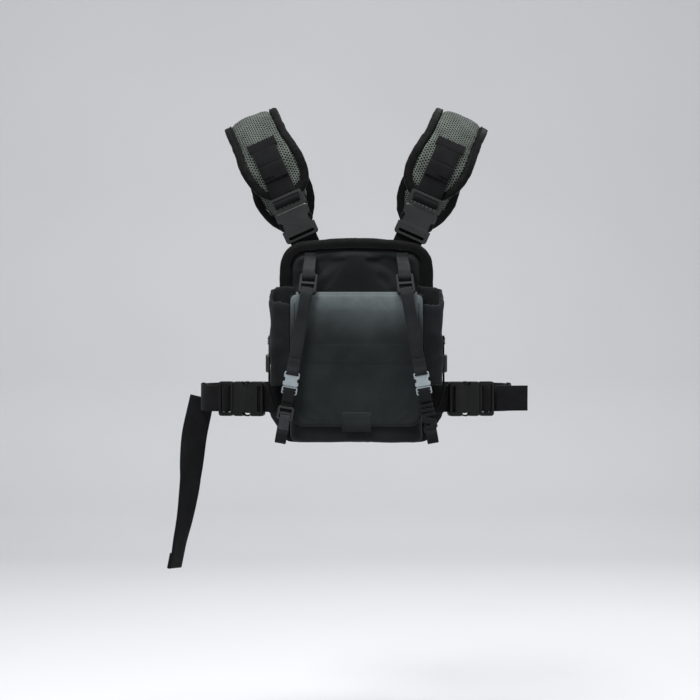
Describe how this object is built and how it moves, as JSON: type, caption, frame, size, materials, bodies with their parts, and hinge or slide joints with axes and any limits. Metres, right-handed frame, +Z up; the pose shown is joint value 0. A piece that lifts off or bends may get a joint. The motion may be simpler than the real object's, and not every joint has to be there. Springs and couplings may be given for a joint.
{
  "type": "binocular harness pack",
  "caption": "Chest-worn binocular pouch with a tall back panel, folding lid, side pockets, padded shoulder straps, side belts and quick-release binocular tethers, shown open as worn.",
  "frame": {"origin": "centre of the pack's rear face, which rests on the wearer's chest", "axes": "+X to the wearer's left, +Y into the chest, +Z up"},
  "size_m": [0.3559, 0.3152, 0.4584],
  "materials": {
    "binding_tape": "matt ribbed tape",
    "panel_fabric": "matt woven nylon",
    "pouch_fabric": "matt woven nylon",
    "lid_fabric": "matt woven nylon",
    "pad_foam": "closed-cell foam under cloth",
    "spacer_mesh": "open spacer mesh",
    "stiffener_sheet": "plain sheet",
    "closure_magnet": "plated",
    "black_webbing": "woven webbing",
    "hook_loop": "loop pile",
    "dark_acetal": "satin moulded",
    "grey_acetal": "satin moulded",
    "tether_webbing": "woven webbing"
  },
  "bodies": {
    "pack": {"back_panel_binding": "binding_tape", "pouch_rim_binding": "binding_tape", "back_yoke_binding": "binding_tape", "left_pad_binding": "binding_tape", "right_pad_binding": "binding_tape", "back_panel": "panel_fabric", "back_yoke": "panel_fabric", "pouch_shell": "pouch_fabric", "left_side_pocket": "pouch_fabric", "right_side_pocket": "pouch_fabric", "left_side_wing": "pouch_fabric", "right_side_wing": "pouch_fabric", "left_pad_foam": "pad_foam", "right_pad_foam": "pad_foam", "left_pad_mesh": "spacer_mesh", "right_pad_mesh": "spacer_mesh", "back_mesh_pad": "spacer_mesh", "back_panel_stiffener": "stiffener_sheet", "back_panel_magnets": "closure_magnet", "left_shoulder_anchor": "black_webbing", "right_shoulder_anchor": "black_webbing", "left_pad_webbing": "black_webbing", "right_pad_webbing": "black_webbing", "left_belt_webbing": "black_webbing", "right_belt_webbing": "black_webbing", "left_rear_webbing": "black_webbing", "right_rear_webbing": "black_webbing", "left_pocket_strap": "black_webbing", "right_pocket_strap": "black_webbing", "belt_keepers": "black_webbing", "pad_patches": "hook_loop", "left_shoulder_socket": "dark_acetal", "right_shoulder_socket": "dark_acetal", "left_belt_socket": "dark_acetal", "right_belt_socket": "dark_acetal", "pocket_strap_locks": "dark_acetal"},
    "lid_riser": {"lid_riser_stiffener": "stiffener_sheet", "lid_riser_panel": "lid_fabric"},
    "lid_top": {"lid_magnets": "closure_magnet", "lid_top_stiffener": "stiffener_sheet", "lid_top_panel": "lid_fabric", "lid_pull_tab": "lid_fabric"},
    "left_shoulder_plug_body": {"left_shoulder_plug": "dark_acetal"},
    "left_belt_plug_body": {"left_belt_plug": "dark_acetal"},
    "left_tether_upper": {"left_tether_upper_strap": "tether_webbing", "left_tether_ladder_lock": "dark_acetal"},
    "left_tether_lower": {"left_tether_lower_strap": "tether_webbing", "left_tether_socket": "grey_acetal"},
    "left_tether_plug_body": {"left_tether_plug": "grey_acetal", "left_tether_loop": "tether_webbing"},
    "right_shoulder_plug_body": {"right_shoulder_plug": "dark_acetal"},
    "right_belt_plug_body": {"right_belt_plug": "dark_acetal"},
    "right_tether_upper": {"right_tether_upper_strap": "tether_webbing", "right_tether_ladder_lock": "dark_acetal"},
    "right_tether_lower": {"right_tether_lower_strap": "tether_webbing", "right_tether_socket": "grey_acetal"},
    "right_tether_plug_body": {"right_tether_plug": "grey_acetal", "right_tether_loop": "tether_webbing", "right_tether_slide": "dark_acetal"}
  },
  "joints": [
    {"name": "lid_hinge", "type": "hinge", "parent": "pack", "child": "lid_riser", "pos_m": [0, -0.083, 0.0425], "axis": [-1, 0, 0], "range_deg": [0, 180], "deforming": ["left_tether_upper_strap", "left_tether_ladder_lock", "left_tether_lower_strap", "left_tether_socket", "left_tether_plug", "left_tether_loop", "right_tether_upper_strap", "right_tether_ladder_lock", "right_tether_lower_strap", "right_tether_socket", "right_tether_plug", "right_tether_loop", "right_tether_slide"]},
    {"name": "lid_fold", "type": "hinge", "parent": "lid_riser", "child": "lid_top", "pos_m": [0, -0.087, -0.0135], "axis": [-1, 0, 0], "range_deg": [0, 90]},
    {"name": "left_shoulder_release", "type": "slide", "parent": "pack", "child": "left_shoulder_plug_body", "axis": [0.4037, -0.1219, 0.9067], "range_m": [0, 0.022], "deforming": ["left_pad_webbing"]},
    {"name": "left_belt_release", "type": "slide", "parent": "pack", "child": "left_belt_plug_body", "axis": [0.9703, 0.2419, 0], "range_m": [0, 0.022], "deforming": ["left_belt_webbing"]},
    {"name": "left_tether_lift", "type": "hinge", "parent": "pack", "child": "left_tether_upper", "pos_m": [0.0435, -0.015, 0.0823], "axis": [-1, 0, 0], "range_deg": [0, 60]},
    {"name": "left_tether_swing", "type": "hinge", "parent": "left_tether_upper", "child": "left_tether_lower", "pos_m": [0.0446, -0.09007, 0.0423], "axis": [-1, 0, 0], "range_deg": [0, 80]},
    {"name": "left_tether_release", "type": "slide", "parent": "left_tether_lower", "child": "left_tether_plug_body", "axis": [0.1736, 0, -0.9848], "range_m": [0, 0.014]},
    {"name": "right_shoulder_release", "type": "slide", "parent": "pack", "child": "right_shoulder_plug_body", "axis": [-0.4037, -0.1219, 0.9067], "range_m": [0, 0.022], "deforming": ["right_pad_webbing"]},
    {"name": "right_belt_release", "type": "slide", "parent": "pack", "child": "right_belt_plug_body", "axis": [-0.9703, 0.2419, 0], "range_m": [0, 0.022], "deforming": ["right_belt_webbing"]},
    {"name": "right_tether_lift", "type": "hinge", "parent": "pack", "child": "right_tether_upper", "pos_m": [-0.0435, -0.015, 0.0823], "axis": [-1, 0, 0], "range_deg": [0, 60]},
    {"name": "right_tether_swing", "type": "hinge", "parent": "right_tether_upper", "child": "right_tether_lower", "pos_m": [-0.0446, -0.09007, 0.0423], "axis": [-1, 0, 0], "range_deg": [0, 80]},
    {"name": "right_tether_release", "type": "slide", "parent": "right_tether_lower", "child": "right_tether_plug_body", "axis": [-0.1736, 0, -0.9848], "range_m": [0, 0.014]}
  ],
  "couplings": [
    {"joint": "lid_fold", "follows": "lid_hinge", "ratio": 0.5}
  ]
}
